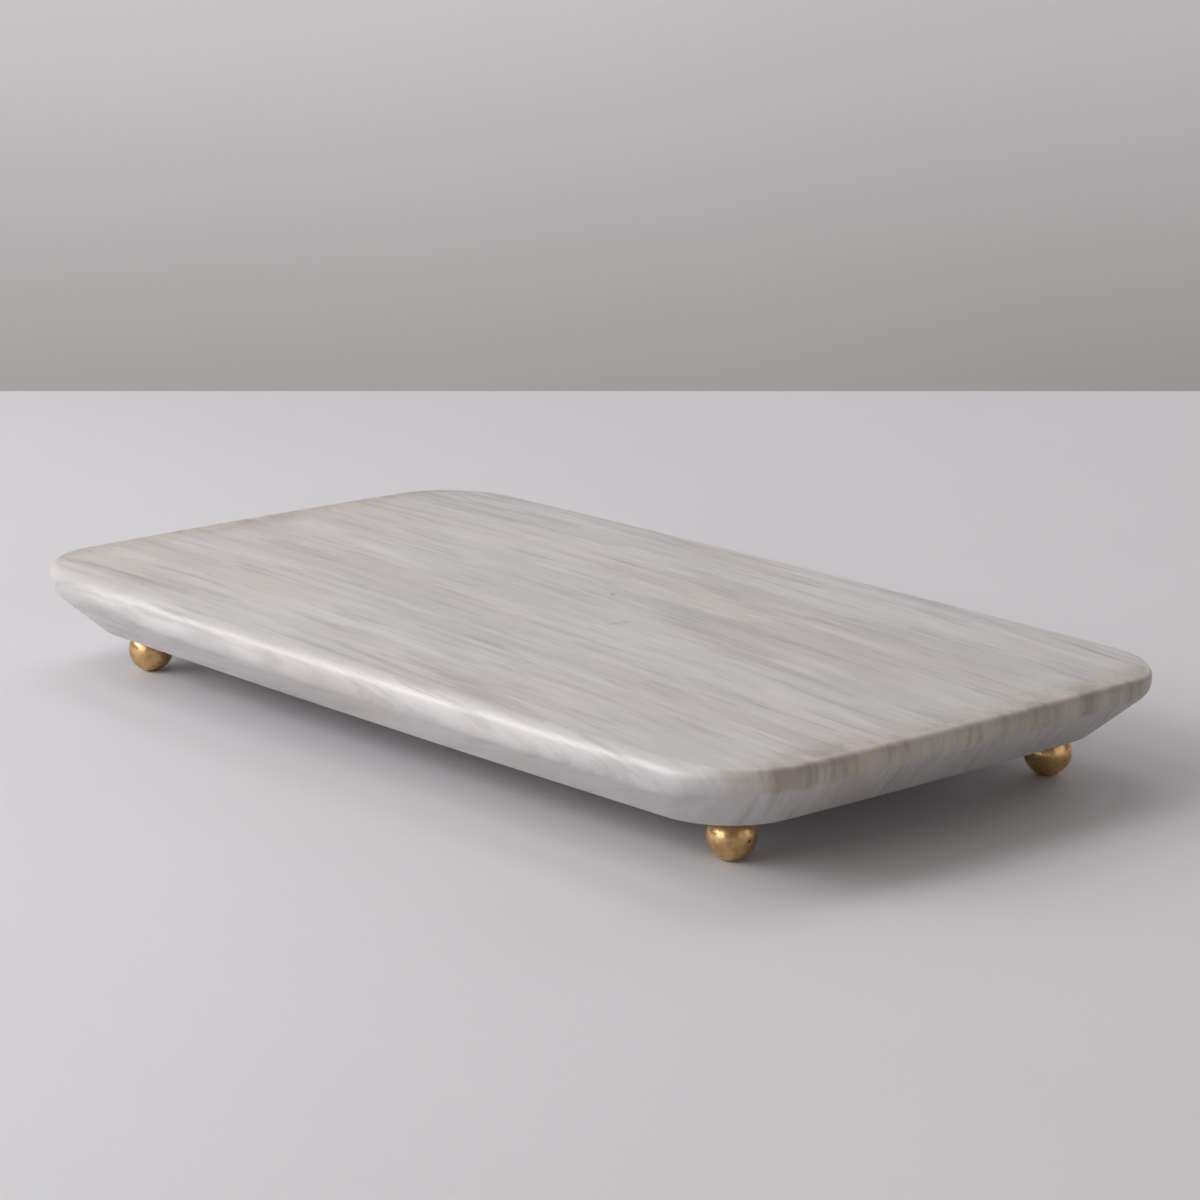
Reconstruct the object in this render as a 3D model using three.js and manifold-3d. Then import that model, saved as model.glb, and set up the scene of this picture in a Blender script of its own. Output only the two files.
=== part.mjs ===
// Dresser vanity tray: a polished marble slab with an undercut edge, standing on four brass ball feet.
//
// Millimetres. +X runs along the tray, +Y towards its back and +Z up. The origin is on the surface that
// the tray stands on, under the middle of the slab.
//
// Each foot is a stack on one vertical axis. A blind hole is drilled up into the stone, a brass sleeve is
// bedded in it with resin, a steel stud is screwed into the sleeve, and the ball is screwed up the stud
// until its seat meets the sleeve.

import * as THREE from 'three';
import { ConvexGeometry } from 'three/addons/geometries/ConvexGeometry.js';
import { mergeVertices } from 'three/addons/utils/BufferGeometryUtils.js';
import Module from 'manifold-3d';

const wasm = await Module();
wasm.setup();

// Slab, seen from above
const LENGTH = 356; // over the swell of the two short ends
const WIDTH = 204; // over the swell of the two long sides
const END_SWELL = 2.4; // how far the middle of a short end stands out past its corners
const SIDE_SWELL = 3.0; // the same for a long side
const CORNER_RADIUS = 29; // at the widest outline
const UNDERSIDE_CORNER_RADIUS = 22.5;

// Slab, seen from the edge
const UNDERSIDE_HEIGHT = 15; // clear height under the slab
const THICKNESS = 22;
const BEND_DROP = 6.6; // from the top face down to the line where the undercut starts
const FRONT_BEND_DROP = 8.6; // the same along the front, where the edge is fuller
const END_UNDERCUT = 16.9; // how far the underside is set in from the outline at a short end
const SIDE_UNDERCUT = 13.8; // the same at a long side
const TOP_ROUND = 2.6;
const FRONT_TOP_ROUND = 5.2;
const BEND_ROUND = 6;
const FRONT_BEND_ROUND = 8;
const UNDERSIDE_ROUND = 2.6;

// Where the feet stand. They were set out by hand, so no two are quite alike.
const FOOT_PLACES = {
  front_left: [-139, -70],
  front_right: [142.5, -66.5],
  back_right: [144, 70.5],
  back_left: [-140.5, 69],
};

// Ball foot
const BALL_RADIUS = 7.7;
const BALL_CENTRE_HEIGHT = 7.55; // just under the radius, so the ball stands on a small flat
const TAPPED_DEPTH = 9;
const DRILL_POINT = 1.1; // the cone at the end of a drilled hole

// Stud, sleeve and resin, which are coaxial with the ball
const STUD_RADIUS = 2;
const STUD_LENGTH = 18;
const STUD_BOTTOM = 6.4; // height of the stud's lower end
const STUD_CHAMFER = 0.5;
const BORE_RADIUS = 2.3; // of the tapped holes that the stud goes into
const SLEEVE_RADIUS = 3.5;
const SLEEVE_LENGTH = 10.5;
const GROOVE_DEPTH = 0.45;
const GROOVE_WIDTH = 1.4;
const GROOVE_COUNT = 2; // grooves that key the sleeve into the resin
const HOLE_RADIUS = 5; // of the blind hole in the stone
const HOLE_DEPTH = 13;
const RESIN_CAP = 1.4; // thickness of resin above the sleeve

// Clearance between pieces that touch
const GAP = 0.3;

// How finely curves are divided
const ARC_STEPS = 4;
const CORNER_STEPS = 10;
const SIDE_STEPS = 8;
const BALL_STEPS = 12;
const TURN_STEPS = 24;

const marble = new THREE.MeshStandardMaterial({ color: 0xcfccc8, roughness: 0.32, metalness: 0 });
const brass = new THREE.MeshStandardMaterial({ color: 0xb98a45, roughness: 0.35, metalness: 1 });
const steel = new THREE.MeshStandardMaterial({ color: 0x9c9ea0, roughness: 0.4, metalness: 1 });
const resin = new THREE.MeshStandardMaterial({ color: 0xd8d0bc, roughness: 0.45, metalness: 0 });

function lerp(from, to, share) {
  return from + (to - from) * share;
}

// A closed mesh as a solid that can be cut.
function toSolid(geometry) {
  const bare = geometry.clone();
  bare.deleteAttribute('normal');
  bare.deleteAttribute('uv');
  const merged = mergeVertices(bare);
  const { array } = merged.attributes.position;
  return new wasm.Manifold(new wasm.Mesh({
    numProp: 3,
    vertProperties: new Float32Array(array),
    triVerts: new Uint32Array(merged.index.array),
  }));
}

function toGeometry(solid) {
  const { vertProperties, triVerts } = solid.getMesh();
  const geometry = new THREE.BufferGeometry();
  geometry.setAttribute('position', new THREE.BufferAttribute(vertProperties, 3));
  geometry.setIndex(new THREE.BufferAttribute(triVerts, 1));
  geometry.computeVertexNormals();
  return geometry;
}

// A profile of [radius, height] points, bottom first, turned about the Z axis.
function turned(profile) {
  const points = profile.map(([radius, height]) => new THREE.Vector2(radius, height));
  return new THREE.LatheGeometry(points, TURN_STEPS).rotateX(Math.PI / 2);
}

// The arc that rounds a corner between the lines to the points before and after it.
function roundedCorner(before, corner, after, radius) {
  const back = before.clone().sub(corner).normalize();
  const on = after.clone().sub(corner).normalize();
  const half = Math.acos(back.dot(on)) / 2;
  const middle = back.clone().add(on).normalize();
  const centre = middle.multiplyScalar(radius / Math.sin(half)).add(corner);
  const reach = radius / Math.tan(half);
  const start = back.multiplyScalar(reach).add(corner).sub(centre);
  const end = on.multiplyScalar(reach).add(corner).sub(centre);
  const turn = Math.atan2(start.cross(end), start.dot(end));
  const points = [];
  for (let step = 0; step <= ARC_STEPS; step += 1) {
    points.push(start.clone().rotateAround(new THREE.Vector2(), (turn * step) / ARC_STEPS).add(centre));
  }
  return points;
}

// The slab's edge as levels from the top face down. inset is how far the level is in from the widest
// outline, share is how much of the undercut it has passed, and height is above the underside.
function edgeLevels(bendDrop, topRound, bendRound) {
  const undercut = (END_UNDERCUT + SIDE_UNDERCUT) / 2;
  const topInner = new THREE.Vector2(WIDTH / 2, THICKNESS);
  const topEdge = new THREE.Vector2(0, THICKNESS);
  const bend = new THREE.Vector2(0, THICKNESS - bendDrop);
  const foot = new THREE.Vector2(undercut, 0);
  const footInner = new THREE.Vector2(WIDTH / 2, 0);
  const top = roundedCorner(topInner, topEdge, bend, topRound);
  const lower = [
    ...roundedCorner(topEdge, bend, foot, bendRound),
    ...roundedCorner(bend, foot, footInner, UNDERSIDE_ROUND),
  ];
  return [
    ...top.map((point) => ({ inset: point.x, share: 0, height: point.y })),
    ...lower.map((point) => ({ inset: 0, share: point.x / undercut, height: point.y })),
  ];
}

// One level's outline: a rounded rectangle whose four sides swell by a parabola between their corners.
// The level changes to the front's round the two corners at the front.
function outline(level, frontLevel) {
  const widestHalfLength = LENGTH / 2 - END_SWELL;
  const widestHalfWidth = WIDTH / 2 - SIDE_SWELL;
  const flat = [];
  for (let corner = 0; corner < 4; corner += 1) {
    const sideX = corner === 0 || corner === 3 ? 1 : -1;
    const sideY = corner < 2 ? 1 : -1;
    const startAngle = (corner * Math.PI) / 2;
    for (let step = 0; step <= CORNER_STEPS; step += 1) {
      const angle = startAngle + (step / CORNER_STEPS) * (Math.PI / 2);
      const towardsFront = Math.max(-Math.sin(angle), 0) ** 8;
      const inset = lerp(level.inset, frontLevel.inset, towardsFront);
      const share = lerp(level.share, frontLevel.share, towardsFront);
      const radius = lerp(CORNER_RADIUS, UNDERSIDE_CORNER_RADIUS, share) - inset;
      const centreX = sideX * (widestHalfLength - inset - END_UNDERCUT * share - radius);
      const centreY = sideY * (widestHalfWidth - inset - SIDE_UNDERCUT * share - radius);
      const height = lerp(level.height, frontLevel.height, towardsFront);
      flat.push([centreX + radius * Math.cos(angle), centreY + radius * Math.sin(angle), height]);
    }
    const [fromX, fromY, runHeight] = flat[flat.length - 1];
    const toX = corner % 2 === 0 ? -fromX : fromX;
    const toY = corner % 2 === 0 ? fromY : -fromY;
    for (let step = 1; step < SIDE_STEPS; step += 1) {
      flat.push([lerp(fromX, toX, step / SIDE_STEPS), lerp(fromY, toY, step / SIDE_STEPS), runHeight]);
    }
  }
  return flat.map(([x, y, height]) => {
    const across = x / widestHalfLength;
    const along = y / widestHalfWidth;
    const swellX = END_SWELL * across * (1 - along * along);
    const swellY = SIDE_SWELL * along * (1 - across * across);
    return new THREE.Vector3(x + swellX, y + swellY, UNDERSIDE_HEIGHT + height);
  });
}

// The slab has no hollow in its outside, so it is the hull of its levels, less the four drilled holes.
function slabGeometry() {
  const levels = edgeLevels(BEND_DROP, TOP_ROUND, BEND_ROUND);
  const frontLevels = edgeLevels(FRONT_BEND_DROP, FRONT_TOP_ROUND, FRONT_BEND_ROUND);
  const points = levels.flatMap((level, index) => outline(level, frontLevels[index]));
  let solid = toSolid(new ConvexGeometry(points));
  for (const [x, y] of Object.values(FOOT_PLACES)) {
    const start = UNDERSIDE_HEIGHT - UNDERSIDE_ROUND;
    const hole = turned([
      [0, start],
      [HOLE_RADIUS, start],
      [HOLE_RADIUS, UNDERSIDE_HEIGHT + HOLE_DEPTH],
      [0, UNDERSIDE_HEIGHT + HOLE_DEPTH],
    ]).translate(x, y, 0);
    solid = solid.subtract(toSolid(hole));
  }
  return toGeometry(solid);
}

// A ball with a small flat to stand on, a flat seat on top and a tapped blind hole down from the seat.
function ballGeometry() {
  const seatHeight = UNDERSIDE_HEIGHT - GAP;
  const lowest = -Math.asin(BALL_CENTRE_HEIGHT / BALL_RADIUS);
  const highest = Math.asin((seatHeight - BALL_CENTRE_HEIGHT) / BALL_RADIUS);
  const profile = [[0, 0]];
  for (let step = 0; step <= BALL_STEPS; step += 1) {
    const angle = lerp(lowest, highest, step / BALL_STEPS);
    profile.push([BALL_RADIUS * Math.cos(angle), BALL_CENTRE_HEIGHT + BALL_RADIUS * Math.sin(angle)]);
  }
  profile[1][1] = 0;
  profile.push(
    [BORE_RADIUS, seatHeight],
    [BORE_RADIUS, seatHeight - TAPPED_DEPTH],
    [0, seatHeight - TAPPED_DEPTH - DRILL_POINT],
  );
  return turned(profile);
}

function studGeometry() {
  const top = STUD_BOTTOM + STUD_LENGTH;
  return turned([
    [0, STUD_BOTTOM],
    [STUD_RADIUS - STUD_CHAMFER, STUD_BOTTOM],
    [STUD_RADIUS, STUD_BOTTOM + STUD_CHAMFER],
    [STUD_RADIUS, top - STUD_CHAMFER],
    [STUD_RADIUS - STUD_CHAMFER, top],
    [0, top],
  ]);
}

// A tube with square grooves round its outside, flush with the underside of the stone.
function sleeveGeometry() {
  const top = UNDERSIDE_HEIGHT + SLEEVE_LENGTH;
  const pitch = SLEEVE_LENGTH / GROOVE_COUNT;
  const profile = [[BORE_RADIUS, UNDERSIDE_HEIGHT], [SLEEVE_RADIUS, UNDERSIDE_HEIGHT]];
  for (let groove = 0; groove < GROOVE_COUNT; groove += 1) {
    const low = UNDERSIDE_HEIGHT + (groove + 0.5) * pitch - GROOVE_WIDTH / 2;
    const high = low + GROOVE_WIDTH;
    profile.push(
      [SLEEVE_RADIUS, low],
      [SLEEVE_RADIUS - GROOVE_DEPTH, low],
      [SLEEVE_RADIUS - GROOVE_DEPTH, high],
      [SLEEVE_RADIUS, high],
    );
  }
  profile.push([SLEEVE_RADIUS, top], [BORE_RADIUS, top], [BORE_RADIUS, UNDERSIDE_HEIGHT]);
  return turned(profile);
}

// The cured resin is a cup, open downwards, that fills the hole round the sleeve and above it.
function resinGeometry() {
  const outer = HOLE_RADIUS - GAP;
  const inner = SLEEVE_RADIUS + GAP;
  const top = UNDERSIDE_HEIGHT + HOLE_DEPTH - GAP;
  return turned([
    [inner, UNDERSIDE_HEIGHT],
    [outer, UNDERSIDE_HEIGHT],
    [outer, top],
    [0, top],
    [0, top - RESIN_CAP],
    [inner, top - RESIN_CAP],
    [inner, UNDERSIDE_HEIGHT],
  ]);
}

function piece(name, geometry, material) {
  const mesh = new THREE.Mesh(geometry, material.clone());
  mesh.name = name;
  return mesh;
}

// One foot, with its own axis at x = 0, y = 0.
function foot(place) {
  const group = new THREE.Group();
  group.add(
    piece(`ball_foot_${place}`, ballGeometry(), brass),
    piece(`stud_${place}`, studGeometry(), steel),
    piece(`anchor_sleeve_${place}`, sleeveGeometry(), brass),
    piece(`resin_bed_${place}`, resinGeometry(), resin),
  );
  return group;
}

const tray = new THREE.Group();
tray.add(piece('marble_slab', slabGeometry(), marble));
for (const [place, [x, y]] of Object.entries(FOOT_PLACES)) {
  const stack = foot(place);
  stack.position.set(x, y, 0);
  tray.add(stack);
}

export default tray;
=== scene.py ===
"""Marble vanity tray on four brass ball feet: its visual model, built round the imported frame.

The file is laid out as an add-on. Each operator makes one piece, or one group of like pieces, and the
panel in the sidebar lists them in the order in which they run. Everything is in metres, in the frame's
own axes: +X along the tray, +Y towards its back, +Z up, with the origin on the table.
"""

import math

import bmesh
import bpy
import numpy as np
from mathutils import Matrix, Vector


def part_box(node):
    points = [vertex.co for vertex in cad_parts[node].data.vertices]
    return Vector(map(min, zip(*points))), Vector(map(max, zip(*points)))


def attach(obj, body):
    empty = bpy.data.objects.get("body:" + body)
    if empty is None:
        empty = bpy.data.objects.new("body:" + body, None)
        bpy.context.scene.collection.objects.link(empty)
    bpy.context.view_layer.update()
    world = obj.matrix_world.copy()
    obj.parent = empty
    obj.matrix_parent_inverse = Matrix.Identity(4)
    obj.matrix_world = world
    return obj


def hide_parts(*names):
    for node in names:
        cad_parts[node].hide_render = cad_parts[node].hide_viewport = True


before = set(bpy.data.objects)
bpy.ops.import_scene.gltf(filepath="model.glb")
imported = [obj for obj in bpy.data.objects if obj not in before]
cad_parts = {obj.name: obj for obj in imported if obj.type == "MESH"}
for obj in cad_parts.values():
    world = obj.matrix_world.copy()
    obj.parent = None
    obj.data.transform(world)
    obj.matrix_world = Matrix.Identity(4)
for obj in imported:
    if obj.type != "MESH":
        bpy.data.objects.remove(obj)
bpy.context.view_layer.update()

bl_info = {
    "name": "Marble vanity tray",
    "version": (1, 0, 0),
    "blender": (4, 5, 0),
    "location": "3D View > Sidebar > Vanity Tray",
    "description": "Builds a veined marble tray with an undercut edge and brass ball feet",
    "category": "Add Mesh",
}

MM = 0.001
PLACES = ("front_left", "front_right", "back_right", "back_left")

# How finely the surfaces are divided.
CORNER_STEPS = 48
LONG_SIDE_STEPS = 110
SHORT_SIDE_STEPS = 64
LOWER_EDGE_STEPS = 12
BEND_STEPS = 20
FLAT_STEPS = 8
BALL_ROWS = 150
BALL_AROUND = 300
STUD_ROWS = 260
STUD_AROUND = 36
SLEEVE_ROWS = 90
SLEEVE_AROUND = 144
BED_AROUND = 96
HOLE_AROUND = 96
MERGE_WITHIN = 0.0002 * MM  # points closer than this are one point

# Edges that turn by more than this many degrees are shaded sharp.
CREASE = 30.0
SLAB_CREASE = 25.0

FRONT_POWER = 8  # how quickly the edge grows fuller round the two front corners


# ---------------------------------------------------------------------------------------------
# What the frame says
# ---------------------------------------------------------------------------------------------

def node_box(node):
    """The lowest and highest corner of a CAD node, in metres."""
    low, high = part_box(node)
    return np.array(low), np.array(high)


def foot_axis(place):
    """Where a foot's upright axis stands, as (x, y)."""
    low, high = node_box(f"ball_foot_{place}")
    return (low[:2] + high[:2]) / 2


SLAB_LOW, SLAB_HIGH = node_box("marble_slab")
BALL_SEAT = node_box("ball_foot_front_right")[1][2]
STUD_LOW, STUD_HIGH = node_box("stud_front_right")
SLEEVE_LOW, SLEEVE_HIGH = node_box("anchor_sleeve_front_right")
RESIN_LOW, RESIN_HIGH = node_box("resin_bed_front_right")


# ---------------------------------------------------------------------------------------------
# Settings that a user would change
# ---------------------------------------------------------------------------------------------

def length(name, description, default):
    """A length, shown in the scene's units."""
    return bpy.props.FloatProperty(
        name=name, description=description, default=default, min=0.0, precision=5,
        subtype="DISTANCE", unit="LENGTH",
    )


def amount(name, description, default):
    """A plain factor from 0 to 1."""
    return bpy.props.FloatProperty(name=name, description=description, default=default, min=0.0, max=1.0)


def tint(name, description, default):
    """A linear colour."""
    return bpy.props.FloatVectorProperty(
        name=name, description=description, default=default, size=3, min=0.0, max=1.0, subtype="COLOR",
    )


def angle(name, description, degrees):
    """An angle, given in degrees."""
    return bpy.props.FloatProperty(
        name=name, description=description, default=math.radians(degrees), subtype="ANGLE", unit="ROTATION",
    )


class TraySlabSizes(bpy.types.PropertyGroup):
    """How the slab's outline and edge are shaped."""

    end_swell: length("End swell", "How far the middle of a short end stands out", 2.4 * MM)
    side_swell: length("Side swell", "How far the middle of a long side stands out", 3.0 * MM)
    corner: length("Corner radius", "Corner radius at the widest outline", 29 * MM)
    underside_corner: length("Underside corner", "Corner radius at the underside", 22.5 * MM)
    bend_drop: length("Bend drop", "From the top down to where the edge turns under", 6.6 * MM)
    front_drop: length("Front bend drop", "The same along the front", 8.6 * MM)
    end_undercut: length("End undercut", "How far the underside is set in at a short end", 16.9 * MM)
    side_undercut: length("Side undercut", "How far the underside is set in at a long side", 13.8 * MM)
    top_round: length("Top round", "Radius of the top edge", 2.6 * MM)
    front_top_round: length("Front top round", "The same along the front", 5.2 * MM)
    bend_round: length("Bend round", "Radius where the edge turns under", 6.0 * MM)
    front_bend_round: length("Front bend round", "The same along the front", 8.0 * MM)
    underside_round: length("Underside round", "Radius of the lower edge", 2.6 * MM)
    hole: length("Hole radius", "Radius of the drilled holes for the feet", 5.0 * MM)
    hole_depth: length("Hole depth", "Depth of the drilled holes", 13 * MM)


class TrayFootSizes(bpy.types.PropertyGroup):
    """Sizes of a foot that its box doesn't give."""

    ball: length("Ball radius", "Radius of the ball", 7.7 * MM)
    ball_centre: length("Ball centre", "Height of the ball's centre above the table", 7.55 * MM)
    bore: length("Bore", "Radius of the tapped holes", 2.3 * MM)
    tapped_depth: length("Tapped depth", "Depth of the hole in the ball", 9.0 * MM)
    drill_point: length("Drill point", "Height of the cone that the drill leaves", 1.1 * MM)
    pitch: length("Thread pitch", "Pitch of an M4 thread", 0.7 * MM)
    thread_depth: length("Thread depth", "Depth of an M4 thread", 0.38 * MM)
    pit_radius: length("Pit radius", "Size of a casting pit", 0.32 * MM)
    pit_depth: length("Pit depth", "Depth of a casting pit", 0.16 * MM)


class TrayMarbleLook(bpy.types.PropertyGroup):
    """Colours and polish of the marble."""

    body: tint("Stone", "The stone's main colour", (0.585, 0.558, 0.552))
    pale: tint("Pale streaks", "The lightest streaks", (0.665, 0.640, 0.645))
    warm: tint("Warm bands", "The beige bands", (0.530, 0.478, 0.438))
    cool: tint("Cool bands", "The blue-grey bands", (0.510, 0.508, 0.518))
    grey: tint("Grey streaks", "The grey streaks", (0.385, 0.376, 0.385))
    vein: tint("Dark streaks", "The thin dark streaks", (0.150, 0.138, 0.135))
    # Part iron staining, part painted shade: the upright end faces are darkened and browned as if in shade.
    stain_and_shade: tint("Stain", "The honey stain in the end faces", (0.47, 0.395, 0.330))
    roughness: amount("Roughness", "How dull the polish is", 0.33)


class TrayBrassLook(bpy.types.PropertyGroup):
    """Colours and finish of the brass."""

    bright: tint("Bright brass", "Where the brass is rubbed", (0.76, 0.500, 0.240))
    aged: tint("Aged brass", "Where the brass has darkened", (0.46, 0.260, 0.120))
    pit: tint("Pits", "The bottoms of the casting pits", (0.05, 0.03, 0.015))
    roughness: amount("Roughness", "How dull the brass is", 0.23)


class TrayHardwareLook(bpy.types.PropertyGroup):
    """Colours of what holds the feet on."""

    steel: tint("Stud steel", "Bare steel of the studs", (0.45, 0.46, 0.47))
    resin: tint("Resin", "Cured resin round the sleeves", (0.62, 0.54, 0.38))


class TrayStageLook(bpy.types.PropertyGroup):
    """Table, wall and camera."""

    table: tint("Table", "Colour of the table top", (0.66, 0.655, 0.680))
    wall: tint("Wall", "Colour of the wall behind", (0.75, 0.74, 0.75))
    azimuth: angle("Azimuth", "Which way the camera looks, from +Y towards -X", 47.504)
    elevation: angle("Elevation", "How far the camera looks down", 13.807)
    roll: angle("Roll", "How far the camera leans", 0.693)
    distance: length("Distance", "From the camera to the point it looks at", 1226.6 * MM)
    focal: bpy.props.FloatProperty(
        name="Focal length", description="For a 36 mm sensor", default=111.4, min=1.0,
        subtype="DISTANCE_CAMERA",
    )


# ---------------------------------------------------------------------------------------------
# Surfaces
# ---------------------------------------------------------------------------------------------

def smooth(mesh, crease):
    """Shades a mesh smooth, except across edges that turn by more than crease degrees."""
    mesh.shade_smooth()
    mesh.set_sharp_from_angle(angle=math.radians(crease))


def piece_from_rings(name, rings, crease=CREASE):
    """A closed piece from rings[i, j], an array of shape (rows, around, 3).

    Row i is joined to row i + 1, and each row closes on itself. A row whose points fall together becomes
    one point, and a last row that repeats the first closes a tube. Faces look outwards where the rows
    climb and each row runs anticlockwise seen from above.
    """
    rows, around = rings.shape[:2]
    index = np.arange(rows * around).reshape(rows, around)
    after = np.roll(index, -1, axis=1)
    quads = np.stack([index[:-1], after[:-1], after[1:], index[1:]], axis=-1).reshape(-1, 4)
    mesh = bpy.data.meshes.new(name)
    mesh.from_pydata(rings.reshape(-1, 3).tolist(), [], quads.tolist())
    work = bmesh.new()
    work.from_mesh(mesh)
    bmesh.ops.remove_doubles(work, verts=work.verts, dist=MERGE_WITHIN)
    work.to_mesh(mesh)
    work.free()
    smooth(mesh, crease)
    piece = bpy.data.objects.new(name, mesh)
    bpy.context.scene.collection.objects.link(piece)
    return piece


def turned_rings(profile, turns, place):
    """Rings of a turned shape: the point at angle a is (x + r cos a, y + r sin a, z).

    profile is (r, z) rows, and place is the axis's (x, y).
    """
    a = np.linspace(0.0, 2 * np.pi, turns, endpoint=False)
    r, z = profile[:, :1], profile[:, 1:]
    x = place[0] + r * np.cos(a)
    y = place[1] + r * np.sin(a)
    return np.stack([x, y, np.broadcast_to(z, x.shape)], axis=-1)


def line(start, end, count):
    """count points from start to end, without the end point."""
    t = np.linspace(0.0, 1.0, count, endpoint=False)[:, None]
    return np.array(start) + (np.array(end) - np.array(start)) * t


def fillet(before, corner, after, radius, count):
    """The arc that rounds a corner: centre + radius (cos, sin), swept from one tangent point to the other.

    The centre lies on the corner's bisector, radius / sin(half angle) away from the corner.
    """
    before, corner, after = np.array(before), np.array(corner), np.array(after)
    back = (before - corner) / np.linalg.norm(before - corner)
    ahead = (after - corner) / np.linalg.norm(after - corner)
    half = math.acos(float(back @ ahead)) / 2
    middle = (back + ahead) / np.linalg.norm(back + ahead)
    centre = corner + middle * radius / math.sin(half)
    start = corner + back * radius / math.tan(half) - centre
    end = corner + ahead * radius / math.tan(half) - centre
    sweep = math.atan2(start[0] * end[1] - start[1] * end[0], start @ end)
    turn = math.atan2(start[1], start[0]) + np.linspace(0.0, sweep, count)
    return centre + radius * np.stack([np.cos(turn), np.sin(turn)], axis=-1)


def edge_profile(sizes, thickness, drop, top_round, bend_round):
    """The slab's edge from the underside up, as rows of (inset, share, height).

    inset is how far the row is in from the widest outline, share is how much of the undercut is still
    to come, from 1 at the underside to 0 at the bend, and height is above the underside.
    """
    undercut = (sizes.end_undercut + sizes.side_undercut) / 2
    far = 4 * undercut
    underside, lower = (far, 0.0), (undercut, 0.0)
    bend, upper = (0.0, thickness - drop), (0.0, thickness)
    top = (far, thickness)
    low_round = fillet(underside, lower, bend, sizes.underside_round, LOWER_EDGE_STEPS)
    turn_under = fillet(lower, bend, upper, bend_round, BEND_STEPS)
    turn_over = fillet(bend, upper, top, top_round, BEND_STEPS)
    slope = line(low_round[-1], turn_under[0], LOWER_EDGE_STEPS)
    lower_rows = np.vstack([low_round[:-1], slope, turn_under])
    low = np.column_stack([np.zeros(len(lower_rows)), lower_rows[:, 0] / undercut, lower_rows[:, 1]])
    high = np.column_stack([turn_over[:, 0], np.zeros(len(turn_over)), turn_over[:, 1]])
    return np.vstack([low, high])


def round_the_corners(corner_steps, long_steps, short_steps):
    """The walk round a rounded rectangle, as arrays (u, v, a).

    A point of it is ((L - r) u + r cos a, (W - r) v + r sin a). At a corner u and v are 1 or -1 and the
    angle a turns through a quarter, and along a side a stays and u or v runs from one corner to the next.
    """
    quarter = np.linspace(0.0, np.pi / 2, corner_steps, endpoint=False)
    walk = []
    for corner, (u, v) in enumerate([(1, 1), (-1, 1), (-1, -1), (1, -1)]):
        steps = long_steps if corner % 2 == 0 else short_steps
        start = corner * np.pi / 2
        walk.append(np.column_stack([np.full(corner_steps, u), np.full(corner_steps, v), start + quarter]))
        run = np.linspace(1.0, -1.0, steps, endpoint=False)
        still = np.ones(steps)
        along = (u * run, v * still) if corner % 2 == 0 else (u * still, v * run)
        walk.append(np.column_stack([*along, np.full(steps, start + np.pi / 2)]))
    return np.vstack(walk).T


def slab_rings(sizes):
    """The slab's whole skin, from the middle of the underside to the middle of the top.

    Each row of the edge profile is a rounded rectangle with half sizes L = L0 - inset - end undercut x
    share and W = W0 - inset - side undercut x share. Its sides then swell by the parabolas
    end swell x (x / L0) (1 - (y / W0)^2) and side swell x (y / W0) (1 - (x / L0)^2). The edge is fuller
    along the front: where sin(a) < 0 the profile is crisp + (full - crisp) |sin(a)|^8. The flat faces
    are the first and last outline shrunk towards the middle.
    """
    half_length = SLAB_HIGH[0] - sizes.end_swell
    half_width = SLAB_HIGH[1] - sizes.side_swell
    thickness = SLAB_HIGH[2] - SLAB_LOW[2]
    crisp = edge_profile(sizes, thickness, sizes.bend_drop, sizes.top_round, sizes.bend_round)
    full = edge_profile(sizes, thickness, sizes.front_drop, sizes.front_top_round, sizes.front_bend_round)
    u, v, a = round_the_corners(CORNER_STEPS, LONG_SIDE_STEPS, SHORT_SIDE_STEPS)
    towards_front = np.maximum(-np.sin(a), 0.0) ** FRONT_POWER
    rows = crisp[:, :, None] + (full - crisp)[:, :, None] * towards_front
    inset, share, height = rows[:, 0], rows[:, 1], rows[:, 2]
    radius = sizes.corner + (sizes.underside_corner - sizes.corner) * share - inset
    x = (half_length - inset - sizes.end_undercut * share - radius) * u + radius * np.cos(a)
    y = (half_width - inset - sizes.side_undercut * share - radius) * v + radius * np.sin(a)
    across, along = x / half_length, y / half_width
    x = x + sizes.end_swell * across * (1 - along ** 2)
    y = y + sizes.side_swell * along * (1 - across ** 2)
    edge = np.stack([x, y, SLAB_LOW[2] + height], axis=-1)
    grow = np.linspace(0.0, 1.0, FLAT_STEPS, endpoint=False)[:, None, None]
    flat = np.array([1.0, 1.0, 0.0])
    lift = np.array([0.0, 0.0, 1.0])
    under = edge[:1] * flat * grow + edge[:1] * lift
    over = edge[-1:] * flat * grow[::-1] + edge[-1:] * lift
    return np.concatenate([under, edge, over])


def ball_profile(sizes):
    """The ball from the middle of the flat it stands on, over its outside and down its tapped hole.

    The outside is r = R cos b, z = c + R sin b, cut off by the two flats.
    """
    seat = BALL_SEAT
    lowest = -math.asin(sizes.ball_centre / sizes.ball)
    highest = math.asin((seat - sizes.ball_centre) / sizes.ball)
    b = np.linspace(lowest, highest, BALL_ROWS)
    outside = np.column_stack([sizes.ball * np.cos(b), sizes.ball_centre + sizes.ball * np.sin(b)])
    floor = seat - sizes.tapped_depth
    chamfer = 0.25 * MM
    return np.vstack([
        line((0.0, 0.0), outside[0], count=6),
        outside,
        line((sizes.bore + chamfer, seat), (sizes.bore, seat - chamfer), count=3),
        line((sizes.bore, seat - chamfer), (sizes.bore, floor), count=30),
        line((sizes.bore, floor), (0.0, floor - sizes.drill_point), count=6),
        [(0.0, floor - sizes.drill_point)],
    ])


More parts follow.
